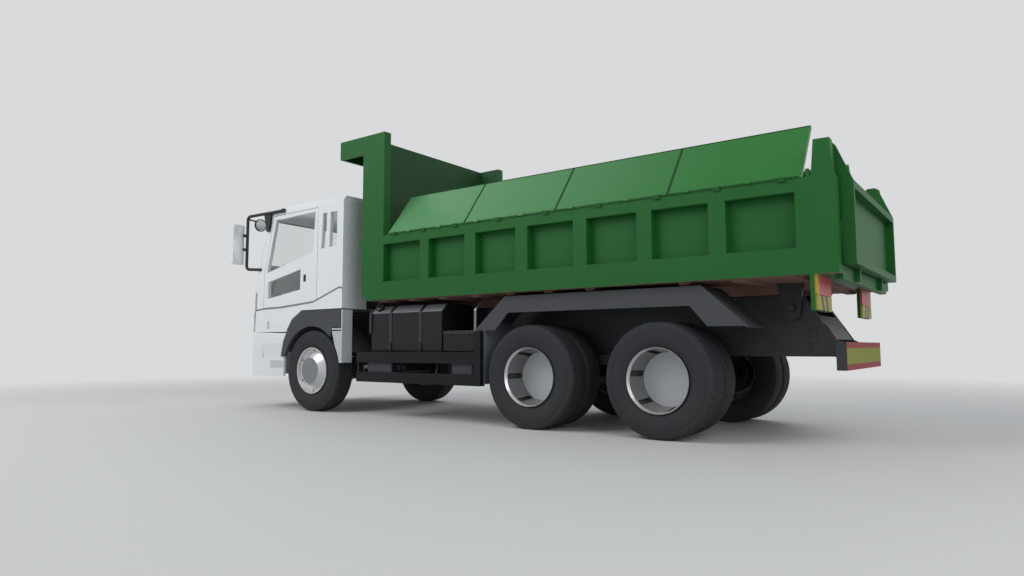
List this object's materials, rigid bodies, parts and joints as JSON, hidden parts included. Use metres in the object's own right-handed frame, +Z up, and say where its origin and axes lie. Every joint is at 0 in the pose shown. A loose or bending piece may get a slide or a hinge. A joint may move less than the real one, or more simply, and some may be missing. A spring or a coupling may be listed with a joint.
{
  "type": "dump truck",
  "caption": "Cab-over dump truck with a rear-tipping steel bed, folding side flaps, top-hung tailgate and a tandem rear axle on twin tyres.",
  "frame": {"origin": "on the ground under the middle of the outer box", "axes": "+X forward, +Y to the left, +Z up"},
  "size_m": [7.968, 2.886, 3.4449],
  "materials": {
    "cab_paint": "gloss",
    "bed_paint": "gloss",
    "chassis_paint": "satin",
    "body_grey": "matte",
    "bumper_paint": "gloss",
    "guard_paint": "satin",
    "tank_steel": "satin",
    "rim_steel": "satin",
    "tyre_rubber": "matte",
    "rod_steel": "satin",
    "glass": "gloss",
    "lamp_lens": "gloss",
    "tail_lens": "gloss",
    "interior_plastic": "matte",
    "seat_fabric": "matte"
  },
  "bodies": {
    "chassis": {"chassis_frame": "chassis_paint", "driveline": "chassis_paint", "axles": "chassis_paint", "leaf_springs": "chassis_paint", "front_bumper": "bumper_paint", "wheel_arches": "body_grey", "front_mudguards": "guard_paint", "headlamps": "lamp_lens", "fuel_tank": "tank_steel", "battery_box": "tank_steel", "silencer": "tank_steel", "air_tanks": "tank_steel", "side_guards": "chassis_paint", "rear_mudguards": "body_grey", "rear_bumper": "chassis_paint"},
    "cab": {"cab_shell": "cab_paint", "cab_glass": "glass", "seats": "seat_fabric", "seat_bases": "interior_plastic", "dashboard": "interior_plastic", "mirrors": "cab_paint"},
    "service_panel": {"front_panel": "cab_paint"},
    "door_left": {"door_left": "cab_paint", "door_glass_left": "glass"},
    "door_right": {"door_right": "cab_paint", "door_glass_right": "glass"},
    "steering_wheel": {"steering_wheel": "interior_plastic"},
    "knuckle_left": {"knuckle_left": "chassis_paint"},
    "knuckle_right": {"knuckle_right": "chassis_paint"},
    "tie_rod": {"tie_rod": "chassis_paint"},
    "wheel_front_left": {"tyre_front_left": "tyre_rubber", "rim_front_left": "rim_steel"},
    "wheel_front_right": {"tyre_front_right": "tyre_rubber", "rim_front_right": "rim_steel"},
    "wheels_mid_left": {"tyres_mid_left": "tyre_rubber", "rims_mid_left": "rim_steel"},
    "wheels_mid_right": {"tyres_mid_right": "tyre_rubber", "rims_mid_right": "rim_steel"},
    "wheels_rear_left": {"tyres_rear_left": "tyre_rubber", "rims_rear_left": "rim_steel"},
    "wheels_rear_right": {"tyres_rear_right": "tyre_rubber", "rims_rear_right": "rim_steel"},
    "bed": {"bed_floor": "bed_paint", "bed_side_left": "bed_paint", "bed_side_right": "bed_paint", "bed_headboard": "bed_paint", "rear_lamps": "tail_lens"},
    "tailgate": {"tailgate": "bed_paint"},
    "flap_left": {"flap_left": "bed_paint"},
    "flap_right": {"flap_right": "bed_paint"},
    "hoist_barrel": {"hoist_barrel": "chassis_paint"},
    "hoist_rod": {"hoist_rod": "rod_steel"}
  },
  "joints": [
    {"name": "cab_tilt", "type": "hinge", "parent": "chassis", "child": "cab", "pos_m": [3.76, 0, 0.785], "axis": [0, 1, 0], "range_deg": [0, 45]},
    {"name": "service_panel_lift", "type": "hinge", "parent": "cab", "child": "service_panel", "pos_m": [3.842, 0, 1.885], "axis": [0, -1, 0], "range_deg": [0, 70]},
    {"name": "door_left_swing", "type": "hinge", "parent": "cab", "child": "door_left", "pos_m": [3.54, 1.196, 1.9], "axis": [0, 0, -1], "range_deg": [0, 70]},
    {"name": "door_right_swing", "type": "hinge", "parent": "cab", "child": "door_right", "pos_m": [3.54, -1.196, 1.9], "axis": [0, 0, 1], "range_deg": [0, 70]},
    {"name": "steering_wheel_turn", "type": "hinge", "parent": "cab", "child": "steering_wheel", "pos_m": [3.18, -0.56, 1.93], "axis": [-0.6157, 0, 0.788], "range_deg": [-530, 530]},
    {"name": "steer_left", "type": "hinge", "parent": "chassis", "child": "knuckle_left", "pos_m": [2.48, 0.9, 0.525], "axis": [0, 0, 1], "range_deg": [-35, 35]},
    {"name": "steer_right", "type": "hinge", "parent": "chassis", "child": "knuckle_right", "pos_m": [2.48, -0.9, 0.525], "axis": [0, 0, 1], "range_deg": [-35.05, 35.05]},
    {"name": "tie_rod_pivot", "type": "hinge", "parent": "knuckle_left", "child": "tie_rod", "pos_m": [2.24, 0.79, 0.47], "axis": [0, 0, 1], "range_deg": [-35.05, 35.05]},
    {"name": "wheel_front_left_roll", "type": "hinge", "parent": "knuckle_left", "child": "wheel_front_left", "pos_m": [2.48, 1.03, 0.525], "axis": [0, 1, 0], "continuous": true},
    {"name": "wheels_mid_left_roll", "type": "hinge", "parent": "chassis", "child": "wheels_mid_left", "pos_m": [-0.97, 0.905, 0.525], "axis": [0, 1, 0], "continuous": true},
    {"name": "wheels_rear_left_roll", "type": "hinge", "parent": "chassis", "child": "wheels_rear_left", "pos_m": [-2.36, 0.905, 0.525], "axis": [0, 1, 0], "continuous": true},
    {"name": "wheel_front_right_roll", "type": "hinge", "parent": "knuckle_right", "child": "wheel_front_right", "pos_m": [2.48, -1.03, 0.525], "axis": [0, 1, 0], "continuous": true},
    {"name": "wheels_mid_right_roll", "type": "hinge", "parent": "chassis", "child": "wheels_mid_right", "pos_m": [-0.97, -0.905, 0.525], "axis": [0, 1, 0], "continuous": true},
    {"name": "wheels_rear_right_roll", "type": "hinge", "parent": "chassis", "child": "wheels_rear_right", "pos_m": [-2.36, -0.905, 0.525], "axis": [0, 1, 0], "continuous": true},
    {"name": "bed_tilt", "type": "hinge", "parent": "chassis", "child": "bed", "pos_m": [-3.345, 0, 1.165], "axis": [0, -1, 0], "range_deg": [0, 50]},
    {"name": "hoist_swing", "type": "hinge", "parent": "chassis", "child": "hoist_barrel", "pos_m": [-0.345, 0, 0.865], "axis": [0, 1, 0], "range_deg": [0, 16.08]},
    {"name": "hoist_stroke", "type": "slide", "parent": "hoist_barrel", "child": "hoist_rod", "axis": [-0.9738, 0, 0.2272], "range_m": [0, 0.8103]},
    {"name": "tailgate_swing", "type": "hinge", "parent": "bed", "child": "tailgate", "pos_m": [-3.798, 0, 2.375], "axis": [0, 1, 0], "range_deg": [0, 60]},
    {"name": "flap_left_fold", "type": "hinge", "parent": "bed", "child": "flap_left", "pos_m": [-1.281, 1.201, 2.177], "axis": [-1, 0, 0], "range_deg": [0, 205]},
    {"name": "flap_right_fold", "type": "hinge", "parent": "bed", "child": "flap_right", "pos_m": [-1.281, -1.201, 2.177], "axis": [1, 0, 0], "range_deg": [0, 205]}
  ],
  "couplings": [
    {"joint": "steer_right", "follows": "steer_left", "ratio": 1},
    {"joint": "tie_rod_pivot", "follows": "steer_left", "ratio": -1},
    {"joint": "steering_wheel_turn", "follows": "steer_left", "ratio": 15},
    {"joint": "hoist_swing", "follows": "bed_tilt", "ratio": 0.32112},
    {"joint": "hoist_stroke", "follows": "bed_tilt", "m_per_rad": 0.92795}
  ]
}
